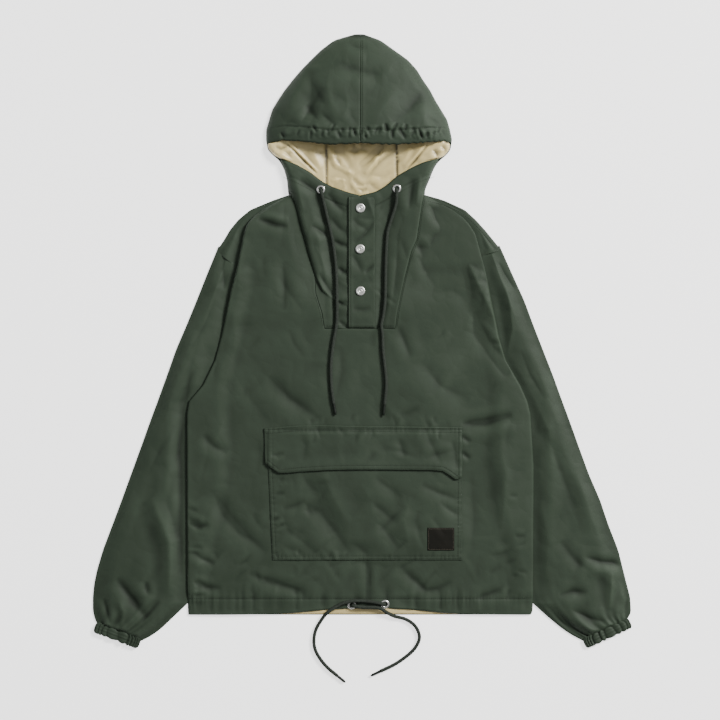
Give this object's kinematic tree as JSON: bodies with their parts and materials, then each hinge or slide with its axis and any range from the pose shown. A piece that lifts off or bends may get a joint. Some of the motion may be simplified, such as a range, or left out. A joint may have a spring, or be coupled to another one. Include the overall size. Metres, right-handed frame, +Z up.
{
  "type": "anorak smock",
  "caption": "Hooded pullover anorak laid flat, front up, with a snap placket, flap pocket, elastic cuffs and two drawcords.",
  "frame": {"origin": "middle of the garment's box, without its cords, on the surface it lies on", "axes": "+Z up from the surface through the front, +Y from the hem to the hood, +X to the picture's right, which is the wearer's left"},
  "size_m": [0.8876, 1.0709, 0.036],
  "materials": {
    "shell": "dark green nylon twill with a low sheen",
    "cuff": "the same nylon gathered on elastic",
    "lining": "beige satin lining",
    "label": "dark woven patch, bare",
    "snap": "pale silver metal, plain",
    "eyelet": "polished nickel",
    "cord": "dark green round braided cord",
    "cord_tip": "cord end, bound"
  },
  "bodies": {
    "root": {"front_panel": "shell", "back_panel": "shell", "sleeve_left": "shell", "sleeve_right": "shell", "hood_left": "shell", "hood_right": "shell", "placket": "shell", "pocket": "shell", "pocket_flap": "shell", "cuff_left": "cuff", "cuff_right": "cuff", "hood_lining": "lining", "hem_lining": "lining", "label": "label", "snap_top": "snap", "snap_middle": "snap", "snap_bottom": "snap", "eyelet_hood_left": "eyelet", "eyelet_hood_right": "eyelet", "eyelet_hem_left": "eyelet", "eyelet_hem_right": "eyelet", "cord_hood_left": "cord", "cord_hood_right": "cord", "cord_hem_left": "cord", "cord_hem_right": "cord", "tip_hood_left": "cord_tip", "tip_hood_right": "cord_tip", "tip_hem_left": "cord_tip", "tip_hem_right": "cord_tip"}
  },
  "joints": []
}
